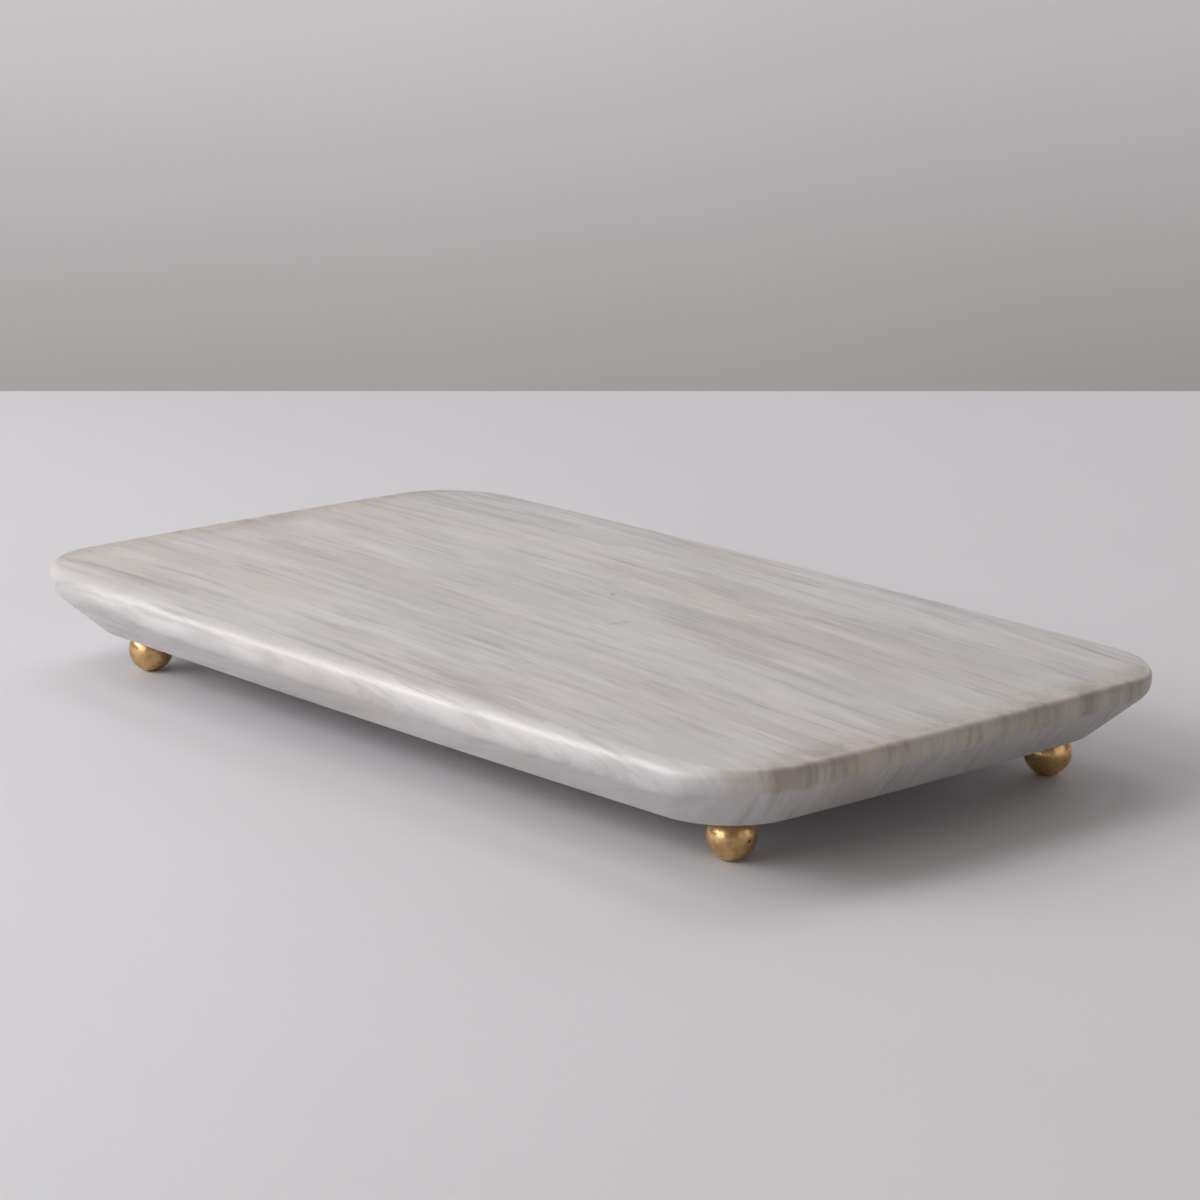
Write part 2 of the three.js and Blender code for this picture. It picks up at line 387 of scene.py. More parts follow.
# Casting pits. A pit is a row of (direction x, y, z, size) from the ball's middle, and its size is a
# share of the pit radius and depth in the settings.
PIT_SEED = 8
PITS_PER_BALL = 14
PIT_SIZES = (0.4, 1.0)
LARGE_PIT = (0.999, -0.007, -0.044, 1.5)  # the one that stands out, on the front right ball

# Shares of the ball's radius past which a point is taken to be on its outside, before and after the pits
# are sunk.
OUTSIDE_FROM = 0.97
SUNK_OUTSIDE_FROM = 0.93

# A pit darkens the brass by depth x gain - start, with the depth as a share of the pit depth.
PIT_DARK_GAIN = 1.3
PIT_DARK_START = 0.2


def pit_depths(rings, centre, pits, sizes):
    """How far small pits sink each point of a ball, as an array like rings without its last axis.

    A pit sinks the outside by depth x size x exp(-(d / (radius x size))^2), where d is the distance from
    the pit's middle.
    """
    away = rings - centre
    reach = np.linalg.norm(away, axis=-1)
    towards = away / np.maximum(reach, 1e-9)[..., None]
    d = np.linalg.norm(towards[:, :, None, :] - pits[:, :3], axis=-1) * sizes.ball
    size = pits[:, 3]
    sink = (sizes.pit_depth * size * np.exp(-(d / (sizes.pit_radius * size)) ** 2)).sum(axis=-1)
    return np.where(reach > OUTSIDE_FROM * sizes.ball, sink, 0.0)


def sunk_by_pits(rings, centre, pits, sizes):
    """The rings of a ball, each point moved towards the centre by the depth of the pits there."""
    away = rings - centre
    away /= np.maximum(np.linalg.norm(away, axis=-1, keepdims=True), 1e-9)
    return rings - away * pit_depths(rings, centre, pits, sizes)[..., None]


def mark_pits(ball, centre, pits, sizes):
    """Stores how deep in a pit each point is, from 0 to 1, so that the brass darkens there."""
    points = np.empty(len(ball.data.vertices) * 3, np.float32)
    ball.data.vertices.foreach_get("co", points)
    points = points.reshape(-1, 1, 3).astype(float)
    reach = np.linalg.norm(points - centre, axis=-1, keepdims=True)
    outside = centre + (points - centre) / reach * np.maximum(reach, sizes.ball)
    near = reach[..., 0] > SUNK_OUTSIDE_FROM * sizes.ball
    depth = np.where(near, pit_depths(outside, centre, pits, sizes), 0.0) / sizes.pit_depth
    dark = np.clip(depth.ravel() * PIT_DARK_GAIN - PIT_DARK_START, 0.0, 1.0)
    attribute = ball.data.attributes.new("pit", "FLOAT", "POINT")
    attribute.data.foreach_set("value", dark.astype(np.float32))


def stud_rings(sizes, place):
    """A threaded stud. Its radius at angle a and height z is R - depth x t, held under a cone at each end.

    t is the thread's flat-topped triangle wave of the phase z / pitch - a / (2 pi).
    """
    radius = (STUD_HIGH[0] - STUD_LOW[0]) / 2
    steepness, crest = 1.35, 0.15
    chamfer = 0.5 * MM
    z = np.linspace(STUD_LOW[2], STUD_HIGH[2], STUD_ROWS)[:, None]
    a = np.linspace(0.0, 2 * np.pi, STUD_AROUND, endpoint=False)[None, :]
    phase = np.abs(((z / sizes.pitch - a / (2 * np.pi)) % 1.0) * 2 - 1)
    thread = radius - sizes.thread_depth * np.clip(phase * steepness - crest, 0.0, 1.0)
    end = np.minimum(z - STUD_LOW[2], STUD_HIGH[2] - z)
    r = np.minimum(thread, radius - chamfer + end)
    x, y = place[0] + r * np.cos(a), place[1] + r * np.sin(a)
    wall = np.stack([x, y, np.broadcast_to(z, r.shape)], axis=-1)
    middle = np.array([place[0], place[1], 0.0])
    lift = np.array([0.0, 0.0, 1.0])
    low = np.broadcast_to(middle + lift * STUD_LOW[2], wall[:1].shape)
    high = np.broadcast_to(middle + lift * STUD_HIGH[2], wall[:1].shape)
    return np.concatenate([low, wall, high])


def sleeve_rings(sizes, place):
    """A knurled sleeve: up its outside, then down its bore, and back to the first ring.

    Outside, the radius is R - depth x (1 - |sin(k a + w z)| |sin(k a - w z)|), a diamond knurl, less two
    square grooves. The bore is a plain tapped hole.
    """
    radius = (SLEEVE_HIGH[0] - SLEEVE_LOW[0]) / 2
    height = SLEEVE_HIGH[2] - SLEEVE_LOW[2]
    knurl_depth, knurl_height = 0.25 * MM, 2.4 * MM
    grooves, groove_depth, groove_width = 2, 0.45 * MM, 1.4 * MM
    z = np.linspace(SLEEVE_LOW[2], SLEEVE_HIGH[2], SLEEVE_ROWS)[:, None]
    a = np.linspace(0.0, 2 * np.pi, SLEEVE_AROUND, endpoint=False)[None, :]
    teeth, wave = 12, np.pi / knurl_height
    knurl = np.abs(np.sin(teeth * a + wave * z) * np.sin(teeth * a - wave * z))
    r = radius - knurl_depth * (1 - knurl)
    part = (z - SLEEVE_LOW[2]) / height * grooves
    in_groove = np.abs(part % 1.0 - 0.5) < groove_width / 2 / (height / grooves)
    r = np.where(in_groove, radius - groove_depth, r)
    x, y = place[0] + r * np.cos(a), place[1] + r * np.sin(a)
    outside = np.stack([x, y, np.broadcast_to(z, r.shape)], axis=-1)
    chamfer = 0.2 * MM
    bore = np.vstack([
        [(sizes.bore + chamfer, SLEEVE_HIGH[2])],
        line((sizes.bore, SLEEVE_HIGH[2] - chamfer), (sizes.bore, SLEEVE_LOW[2] + chamfer), count=20),
        [(sizes.bore, SLEEVE_LOW[2] + chamfer), (sizes.bore + chamfer, SLEEVE_LOW[2])],
    ])
    inside = turned_rings(bore, SLEEVE_AROUND, place)
    return np.concatenate([outside, inside, outside[:1]])


def resin_profile():
    """The cup of resin round a sleeve, as (r, z) rows from the mouth's inner edge round and back to it."""
    gap, cap, dip = 0.3 * MM, 1.4 * MM, 0.15 * MM
    outer = (RESIN_HIGH[0] - RESIN_LOW[0]) / 2
    inner = (SLEEVE_HIGH[0] - SLEEVE_LOW[0]) / 2 + gap
    low, high = RESIN_LOW[2], RESIN_HIGH[2]
    roof = high - cap
    mouth = np.linspace(0.0, np.pi, 12)
    meniscus = np.column_stack([
        inner + (outer - inner) * mouth / np.pi,
        low + dip * np.sin(mouth),
    ])
    return np.vstack([
        meniscus,
        line((outer, low + dip), (outer, high - dip), count=12),
        line((outer - dip, high), (0.0, high), count=8),
        [(0.0, high), (0.0, roof)],
        line((dip, roof), (inner, roof), count=6),
        line((inner, roof), (inner, low), count=14),
        meniscus[:1],
    ])


# ---------------------------------------------------------------------------------------------
# Shader nodes
# ---------------------------------------------------------------------------------------------

class Wiring:
    """Adds nodes to one tree. A socket given as an input is linked, and any other value is set."""

    def __init__(self, tree):
        self.tree = tree

    def feed(self, socket, value):
        if isinstance(value, bpy.types.NodeSocket):
            self.tree.links.new(value, socket)
        else:
            socket.default_value = value

    def node(self, kind, inputs=(), **settings):
        made = self.tree.nodes.new(kind)
        for name, value in settings.items():
            setattr(made, name, value)
        for name, value in dict(inputs).items():
            self.feed(made.inputs[name], value)
        return made

    def math(self, operation, *values):
        made = self.node("ShaderNodeMath", operation=operation)
        for socket, value in zip(made.inputs, values):
            self.feed(socket, value)
        return made.outputs[0]

    def ramp(self, value, low, high, to_low=0.0, to_high=1.0):
        """value from low..high to to_low..to_high, eased at both ends."""
        made = self.node(
            "ShaderNodeMapRange",
            {"Value": value, "From Min": low, "From Max": high, "To Min": to_low, "To Max": to_high},
            interpolation_type="SMOOTHSTEP",
        )
        return made.outputs["Result"]

    def mix(self, factor, first, second):
        """The colour between first and second, told by place because colour sockets share their names."""
        made = self.node("ShaderNodeMix", data_type="RGBA", clamp_factor=True)
        self.feed(made.inputs[0], factor)
        self.feed(made.inputs[6], first)
        self.feed(made.inputs[7], second)
        return made.outputs[2]

    def group(self, tree, **inputs):
        made = self.node("ShaderNodeGroup", node_tree=tree)
        for name, value in inputs.items():
            self.feed(made.inputs[name.replace("_", " ").capitalize()], value)
        return made.outputs


def rgba(colour):
    """A linear colour as a socket wants it."""
    return (*colour, 1.0)


def new_group(name, inputs, outputs):
    """An empty node group with sockets given as {name: (kind, default)} and {name: kind}."""
    tree = bpy.data.node_groups.new(name, "ShaderNodeTree")
    for label, (kind, default) in inputs.items():
        socket = tree.interface.new_socket(label, in_out="INPUT", socket_type=f"NodeSocket{kind}")
        if default is not None:
            socket.default_value = default
    for label, kind in outputs.items():
        tree.interface.new_socket(label, in_out="OUTPUT", socket_type=f"NodeSocket{kind}")
    wires = Wiring(tree)
    return tree, wires, wires.node("NodeGroupInput").outputs, wires.node("NodeGroupOutput").inputs


def streaks_group():
    """Noise drawn out along X by Length and along Z by Depth, cut to a mask between Low and High."""
    tree, wires, given, out = new_group(
        "Drawn-out streaks",
        {"Vector": ("Vector", None), "Fineness": ("Float", 100.0), "Length": ("Float", 8.0),
         "Depth": ("Float", 3.0), "Seed": ("Float", 0.0), "Low": ("Float", 0.4), "High": ("Float", 0.6),
         "Ragged": ("Float", 0.6)},
        {"Mask": "Float"},
    )
    stretch = wires.node("ShaderNodeCombineXYZ", {"X": given["Length"], "Y": 1.0, "Z": given["Depth"]})
    drawn = wires.node(
        "ShaderNodeMapping", {"Vector": given["Vector"], "Scale": stretch.outputs[0]}, vector_type="TEXTURE",
    )
    noise = wires.node(
        "ShaderNodeTexNoise",
        {"Vector": drawn.outputs[0], "W": given["Seed"], "Scale": given["Fineness"], "Detail": 4.0,
         "Roughness": given["Ragged"]},
        noise_dimensions="4D",
    )
    wires.feed(out["Mask"], wires.ramp(noise.outputs["Fac"], given["Low"], given["High"]))
    return tree


def bedding_group():
    """Bends the stone's bedding: y' = y + Slope x + Curve x^2 + Dip z + Wander (noise - 0.5)."""
    tree, wires, given, out = new_group(
        "Bedding",
        {"Vector": ("Vector", None), "Slope": ("Float", 0.07), "Curve": ("Float", 0.2),
         "Dip": ("Float", 0.4), "Wander": ("Float", 0.004)},
        {"Vector": "Vector"},
    )
    part = wires.node("ShaderNodeSeparateXYZ", {"Vector": given["Vector"]}).outputs
    broad = wires.node(
        "ShaderNodeTexNoise", {"Vector": given["Vector"], "Scale": 11.0, "Detail": 2.0, "Roughness": 0.4},
    )
    wander = wires.math("MULTIPLY", wires.math("SUBTRACT", broad.outputs["Fac"], 0.5), given["Wander"])
    bowed = wires.math("MULTIPLY", wires.math("MULTIPLY", part["X"], part["X"]), given["Curve"])
    sloped = wires.math("MULTIPLY", part["X"], given["Slope"])
    dipped = wires.math("MULTIPLY", part["Z"], given["Dip"])
    flat = wires.math("ADD", wires.math("ADD", part["Y"], sloped), dipped)
    y = wires.math("ADD", flat, wires.math("ADD", bowed, wander))
    joined = wires.node("ShaderNodeCombineXYZ", {"X": part["X"], "Y": y, "Z": part["Z"]})
    wires.feed(out["Vector"], joined.outputs[0])
    return tree


def mark_group():
    """One soft mark in the stone: an ellipse about Centre, turned by Turn, with Size half axes."""
    tree, wires, given, out = new_group(
        "Single mark",
        {"Vector": ("Vector", None), "Centre": ("Vector", None), "Turn": ("Vector", None),
         "Size": ("Vector", (0.01, 0.001, 0.01)), "Ragged": ("Float", 0.5)},
        {"Mask": "Float"},
    )
    local = wires.node(
        "ShaderNodeMapping",
        {"Vector": given["Vector"], "Location": given["Centre"], "Rotation": given["Turn"],
         "Scale": given["Size"]},
        vector_type="TEXTURE",
    )
    rough = wires.node("ShaderNodeTexNoise", {"Vector": local.outputs[0], "Scale": 2.2, "Detail": 4.0})
    wander = wires.math("MULTIPLY", wires.math("SUBTRACT", rough.outputs["Fac"], 0.5), given["Ragged"])
    reach = wires.node("ShaderNodeVectorMath", {0: local.outputs[0]}, operation="LENGTH").outputs["Value"]
    away = wires.math("ADD", reach, wires.math("MULTIPLY", wander, 3.0))
    wires.feed(out["Mask"], wires.ramp(away, 0.15, 1.0, 1.0, 0.0))
    return tree


def cloud_group():
    """Soft patches of noise, as a mask between Low and High."""
    tree, wires, given, out = new_group(
        "Soft patches",
        {"Vector": ("Vector", None), "Fineness": ("Float", 50.0), "Seed": ("Float", 0.0),
         "Low": ("Float", 0.4), "High": ("Float", 0.6)},
        {"Mask": "Float"},
    )
    noise = wires.node(
        "ShaderNodeTexNoise",
        {"Vector": given["Vector"], "W": given["Seed"], "Scale": given["Fineness"], "Detail": 5.0,
         "Roughness": 0.6},
        noise_dimensions="4D",
    )
    wires.feed(out["Mask"], wires.ramp(noise.outputs["Fac"], given["Low"], given["High"]))
    return tree


def shader_groups():
    """The effects that more than one material uses, each made the first time that it is asked for."""
    makers = {
        "streaks": ("Drawn-out streaks", streaks_group),
        "bedding": ("Bedding", bedding_group),
        "mark": ("Single mark", mark_group),
        "cloud": ("Soft patches", cloud_group),
    }
    made = bpy.data.node_groups
    return {key: made.get(name) or make() for key, (name, make) in makers.items()}


def new_material(name):
    """A material with an empty tree, its wiring and its Principled shader."""
    material = bpy.data.materials.new(name)
    material.use_nodes = True
    tree = material.node_tree
    tree.nodes.clear()
    wires = Wiring(tree)
    shader = wires.node("ShaderNodeBsdfPrincipled")
    wires.node("ShaderNodeOutputMaterial", {"Surface": shader.outputs[0]})
    return material, wires, shader.inputs


def object_place(wires):
    """Where a point is in the frame, in metres."""
    return wires.node("ShaderNodeTexCoord").outputs["Object"]


# Single marks that stand out in the stone: (x, y) in mm, turn in degrees, half length and half width in
# mm, raggedness, strength.
STONE_MARKS = (
    (-7, 23.5, -30, 2.2, 1.0, 0.3, 0.75),
    (23, -1, 75, 6.5, 1.6, 0.5, 0.35),
)
STONE_MARK_DEPTH = 6 * MM

# The honey band at each short end is part iron staining and part painted shade, the darker brown of an
# upright face in shade.
STAIN_AND_SHADE_FROM = 158 * MM  # how far from the middle the stain at an end begins
STAIN_AND_SHADE_FULL = 2 * MM  # how far in from the very end it is at its strongest
STAIN_AND_SHADE_DEPTH = 6.8 * MM  # how far down from the top face it reaches
STAIN_AND_SHADE_FADE = (-2 * MM, 1 * MM)  # over which heights about that depth it fades in
STAIN_AND_SHADE_STRENGTH = 0.60
STAIN_STREAK_SHADE = 0.55  # how dark the streaks in it are, next to its own colour

# Upright streaks in the band of iron staining and painted shade: fineness, length, depth, seed, low, high,
# strength.
STAIN_STREAKS = (
    (75.0, 1.5, 6.0, 31.0, 0.46, 0.62, 0.55),
    (340.0, 2.0, 9.0, 33.0, 0.48, 0.66, 0.45),
)

# Layers of streaks in the stone, coarse to fine: which colour they take, fineness, length, depth, seed,
# low, high, raggedness, strength.
STONE_LAYERS = (
    ("warm", 26.0, 3.5, 4.0, 1.0, 0.42, 0.60, 0.50, 0.65),
    ("cool", 30.0, 4.0, 4.0, 23.0, 0.46, 0.60, 0.50, 0.50),
    ("grey", 34.0, 6.0, 4.0, 4.0, 0.50, 0.62, 0.60, 0.20),
    ("grey", 90.0, 9.0, 5.0, 9.0, 0.50, 0.62, 0.60, 0.27),
    ("grey", 210.0, 14.0, 6.0, 6.0, 0.49, 0.62, 0.56, 0.27),
    ("pale", 140.0, 9.0, 6.0, 17.0, 0.50, 0.62, 0.56, 0.42),
    ("vein", 75.0, 11.0, 5.0, 2.0, 0.54, 0.61, 0.70, 0.22),
    ("vein", 320.0, 16.0, 7.0, 12.0, 0.54, 0.63, 0.55, 0.22),
    ("grey", 800.0, 22.0, 7.0, 13.0, 0.47, 0.60, 0.50, 0.18),
)


def darkened(colour, share):
    """A darker shade of a linear colour, as a socket wants it."""
    return rgba(tuple(share * part for part in colour))


def stain_and_shade_ends(wires, groups, look, place, colour):
    """Honey-coloured tint in the upright band at each short end, part iron staining and part painted shade,
    in upright streaks of two widths.
    """
    part = wires.node("ShaderNodeSeparateXYZ", {"Vector": place}).outputs
    near_end = wires.ramp(wires.math("ABSOLUTE", part["X"]), STAIN_AND_SHADE_FROM, SLAB_HIGH[0] - STAIN_AND_SHADE_FULL)
    lowest = SLAB_HIGH[2] - STAIN_AND_SHADE_DEPTH
    upright = wires.ramp(part["Z"], lowest + STAIN_AND_SHADE_FADE[0], lowest + STAIN_AND_SHADE_FADE[1])
    band = wires.math("MULTIPLY", near_end, upright)
    # Painted shade and iron staining: the end band is mixed towards the darker honey-brown colour.
    colour = wires.mix(wires.math("MULTIPLY", band, STAIN_AND_SHADE_STRENGTH), colour, rgba(look.stain_and_shade))
    for fineness, long, deep, seed, low, high, strength in STAIN_STREAKS:
        mask = wires.group(
            groups["streaks"], vector=place, fineness=fineness, length=long, depth=deep, seed=seed,
            low=low, high=high,
        )["Mask"]
        share = wires.math("MULTIPLY", wires.math("MULTIPLY", mask, strength), band)
        colour = wires.mix(share, colour, darkened(look.stain_and_shade, STAIN_STREAK_SHADE))
    return colour


def marble_material(look, groups):
    """Bedded marble: layers of drawn-out streaks along the bedding, two single marks, satin polish."""
    material, wires, shader = new_material("Marble")
    place = object_place(wires)
    grain = wires.group(groups["bedding"], vector=place)["Vector"]
    tones = {"warm": look.warm, "cool": look.cool, "grey": look.grey, "pale": look.pale, "vein": look.vein}
    colour = rgba(look.body)
    for tone, fineness, long, deep, seed, low, high, ragged, strength in STONE_LAYERS:
        mask = wires.group(
            groups["streaks"], vector=grain, fineness=fineness, length=long, depth=deep, seed=seed,
            low=low, high=high, ragged=ragged,
        )["Mask"]
        colour = wires.mix(wires.math("MULTIPLY", mask, strength), colour, rgba(tones[tone]))
    colour = stain_and_shade_ends(wires, groups, look, place, colour)
    for x, y, turn, long, wide, ragged, strength in STONE_MARKS:
        mark = wires.group(
            groups["mark"], vector=place, centre=(x * MM, y * MM, SLAB_HIGH[2]),
            turn=(0.0, 0.0, math.radians(turn)), size=(long * MM, wide * MM, STONE_MARK_DEPTH), ragged=ragged,
        )["Mask"]
        colour = wires.mix(wires.math("MULTIPLY", mark, strength), colour, rgba(look.vein))
    wires.feed(shader["Base Color"], colour)
    polish = wires.group(groups["cloud"], vector=place, fineness=500.0, seed=3.0, low=0.3, high=0.7)["Mask"]
    duller = look.roughness + 0.06
    wires.feed(shader["Roughness"], wires.ramp(polish, 0.0, 1.0, look.roughness, duller))
    wires.feed(shader["IOR"], 1.5)
    pores = wires.group(groups["cloud"], vector=place, fineness=1800.0, seed=7.0, low=0.60, high=0.75)["Mask"]
    bump = wires.node(
        "ShaderNodeBump", {"Strength": 0.05, "Distance": 0.1 * MM, "Height": pores}, invert=True,
    )
    wires.feed(shader["Normal"], bump.outputs[0])
    return material


def brass_material(name, look, groups, dull=0.0):
    """Unlacquered brass: rubbed and darkened patches, fine scratches, and dark where the mesh has pits."""
    material, wires, shader = new_material(name)
    place = object_place(wires)
    cloud, streaks = groups["cloud"], groups["streaks"]
    patches = wires.group(cloud, vector=place, fineness=260.0, seed=2.0, low=0.40, high=0.66)["Mask"]
    specks = wires.group(cloud, vector=place, fineness=1400.0, seed=5.0, low=0.60, high=0.72)["Mask"]
    lines = wires.group(
        streaks, vector=place, fineness=2600.0, length=9.0, depth=1.0, seed=3.0, low=0.45, high=0.65,
    )["Mask"]
    pits = wires.node("ShaderNodeAttribute", attribute_name="pit").outputs["Fac"]
    colour = wires.mix(wires.math("MULTIPLY", patches, 0.7), rgba(look.bright), rgba(look.aged))
    colour = wires.mix(wires.math("MULTIPLY", specks, 0.35), colour, rgba(look.pit))
    colour = wires.mix(pits, colour, rgba(look.pit))
    wires.feed(shader["Base Color"], colour)
    wires.feed(shader["Metallic"], 1.0)
    rubbed = look.roughness + dull
    tarnished = rubbed + 0.14
    wires.feed(shader["Roughness"], wires.ramp(patches, 0.0, 1.0, rubbed, tarnished))
    height = wires.math("ADD", wires.math("MULTIPLY", lines, 0.35), wires.math("MULTIPLY", specks, -0.8))
    bump = wires.node("ShaderNodeBump", {"Strength": 0.25, "Distance": 0.05 * MM, "Height": height})
    wires.feed(shader["Normal"], bump.outputs[0])
    return material


def steel_material(look, groups):
    """Bare rolled-thread steel with fine lines round it and a little staining."""
    material, wires, shader = new_material("Stud steel")
    place = object_place(wires)
    lines = wires.group(
        groups["streaks"], vector=place, fineness=3000.0, length=6.0, depth=0.5, seed=1.0, low=0.4, high=0.7,
    )["Mask"]
    stains = wires.group(groups["cloud"], vector=place, fineness=300.0, seed=8.0, low=0.5, high=0.7)["Mask"]
    wires.feed(shader["Base Color"], wires.mix(stains, rgba(look.steel), darkened(look.steel, 0.6)))
    wires.feed(shader["Metallic"], 1.0)
    wires.feed(shader["Roughness"], wires.ramp(lines, 0.0, 1.0, 0.28, 0.45))
    bump = wires.node("ShaderNodeBump", {"Strength": 0.2, "Distance": 0.03 * MM, "Height": lines})
    wires.feed(shader["Normal"], bump.outputs[0])
    return material


def resin_material(look, groups):
    """Cured resin: ivory, slightly cloudy, with small bubbles."""
    material, wires, shader = new_material("Resin")
    place = object_place(wires)
    cloud = groups["cloud"]
    clouds = wires.group(cloud, vector=place, fineness=400.0, seed=1.0, low=0.35, high=0.7)["Mask"]
    bubbles = wires.group(cloud, vector=place, fineness=2600.0, seed=6.0, low=0.64, high=0.70)["Mask"]
    wires.feed(shader["Base Color"], wires.mix(clouds, rgba(look.resin), darkened(look.resin, 0.7)))
    wires.feed(shader["Roughness"], wires.ramp(clouds, 0.0, 1.0, 0.25, 0.4))
    wires.feed(shader["Coat Weight"], 0.3)
    bump = wires.node(
        "ShaderNodeBump", {"Strength": 0.4, "Distance": 0.1 * MM, "Height": bubbles}, invert=True,
    )
    wires.feed(shader["Normal"], bump.outputs[0])
    return material


def plain_material(name, colour, groups, roughness, grain):
    """A painted surface for the stage, with a faint grain in its colour and relief."""
    material, wires, shader = new_material(name)
    place = object_place(wires)
    fine = wires.group(groups["cloud"], vector=place, fineness=grain, seed=2.0, low=0.3, high=0.7)["Mask"]
    broad = wires.group(groups["cloud"], vector=place, fineness=6.0, seed=4.0, low=0.3, high=0.7)["Mask"]
    shade = wires.math("MULTIPLY", wires.math("ADD", fine, broad), 0.5)
    wires.feed(shader["Base Color"], wires.mix(shade, rgba(colour), darkened(colour, 0.97)))
    wires.feed(shader["Roughness"], roughness)
    wires.feed(shader["Specular IOR Level"], 0.3)
    bump = wires.node("ShaderNodeBump", {"Strength": 0.1, "Distance": 0.2 * MM, "Height": fine})
    wires.feed(shader["Normal"], bump.outputs[0])
    return material


# The table and the wall behind it, in metres.
TABLE_EDGE_TURN = math.radians(51.26)  # which way the back edge of the table runs, from +X
TABLE_EDGE_AWAY = 0.584  # from the middle of the tray to that edge
TABLE_REACH = 3.0
WALL_AWAY = 1.9
WALL_FOOT = -0.8
WALL_TOP = 2.4

# Where the wall's painted light, an emitted glow, changes: heights in metres, and how far to a side, with its
# colour low on the wall and higher up, and its share of that at the far right.
WALL_GLOW_HEIGHTS = (-0.35, 0.25)
WALL_GLOW_SIDES = (-0.6, 0.6)
WALL_GLOW_LOW = (0.025, 0.020, 0.022)
WALL_GLOW_HIGH = (0.265, 0.262, 0.290)
WALL_GLOW_RIGHT = 0.8


def wall_material(colour, groups):
    """The far wall: paint, with painted light: a soft emitted glow that grows upwards and to the left, as a
    lit wall's does.
    """
    material = plain_material("Wall", colour, groups, 0.8, 200.0)
    wires = Wiring(material.node_tree)
    shader = material.node_tree.nodes["Principled BSDF"].inputs
    turned = wires.node(
        "ShaderNodeMapping", {"Vector": object_place(wires), "Rotation": (0.0, 0.0, -TABLE_EDGE_TURN)},
    )
    part = wires.node("ShaderNodeSeparateXYZ", {"Vector": turned.outputs[0]}).outputs
    upwards = wires.ramp(part["Z"], *WALL_GLOW_HEIGHTS)
    glow = wires.mix(upwards, rgba(WALL_GLOW_LOW), rgba(WALL_GLOW_HIGH))
    sideways = wires.ramp(part["X"], *WALL_GLOW_SIDES, 1.0, WALL_GLOW_RIGHT)
    # Painted light: the wall itself emits this glow, though it is no lamp.
    wires.feed(shader["Emission Color"], wires.mix(sideways, rgba((0.0, 0.0, 0.0)), glow))
    wires.feed(shader["Emission Strength"], 1.0)
    return material


# ---------------------------------------------------------------------------------------------
# Operators
# ---------------------------------------------------------------------------------------------

def settle(piece, node, material):
    """Gives a finished piece its material and puts it in place of its CAD node."""
    piece.data.materials.append(material)
    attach(piece, "root")
    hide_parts(node)


def drill(piece, cutter):
    """Cuts one piece from another for good, and takes the cutter away."""
    cut = piece.modifiers.new("Drill", "BOOLEAN")
    cut.operation = "DIFFERENCE"
    cut.solver = "EXACT"
    cut.object = cutter
    shape = bpy.data.meshes.new_from_object(piece.evaluated_get(bpy.context.evaluated_depsgraph_get()))
    piece.modifiers.clear()
    piece.data = shape
    bpy.data.objects.remove(cutter)


class TRAY_OT_slab(bpy.types.Operator):
    """Make the marble slab, with its undercut edge and the holes drilled for the feet"""

    bl_idname = "tray.slab"
    bl_label = "Marble slab"

    def execute(self, context):
        sizes = context.scene.tray_slab
        slab = piece_from_rings("marble_top", slab_rings(sizes), SLAB_CREASE)
        start, end = SLAB_LOW[2] - sizes.hole, SLAB_LOW[2] + sizes.hole_depth
        wall = line((sizes.hole, start), (sizes.hole, end), count=2)
        hole = np.vstack([[(0.0, start)], wall, [(sizes.hole, end), (0.0, end)]])
        for place in PLACES:
            drill(slab, piece_from_rings("cutter", turned_rings(hole, HOLE_AROUND, foot_axis(place))))
        smooth(slab.data, SLAB_CREASE)
        slab.data.name = slab.name
        settle(slab, "marble_slab", marble_material(context.scene.tray_marble, shader_groups()))
        return {"FINISHED"}


class TRAY_OT_balls(bpy.types.Operator):
    """Make the four brass balls, with their seats, tapped holes and casting pits"""

    bl_idname = "tray.balls"
    bl_label = "Ball feet"

    def execute(self, context):
        sizes = context.scene.tray_foot
        material = brass_material("Ball brass", context.scene.tray_brass, shader_groups())
        draw = np.random.default_rng(PIT_SEED)
        for place in PLACES:
            axis = foot_axis(place)
            centre = np.array([axis[0], axis[1], sizes.ball_centre])
            towards = draw.normal(size=(PITS_PER_BALL, 3))
            towards /= np.linalg.norm(towards, axis=1, keepdims=True)
            pits = np.column_stack([towards, draw.uniform(*PIT_SIZES, PITS_PER_BALL)])
            if place == "front_right":
                pits = np.vstack([pits, LARGE_PIT])
            rings = turned_rings(ball_profile(sizes), BALL_AROUND, axis)
            ball = piece_from_rings(f"brass_ball_{place}", sunk_by_pits(rings, centre, pits, sizes))
            mark_pits(ball, centre, pits, sizes)
            settle(ball, f"ball_foot_{place}", material)
        return {"FINISHED"}


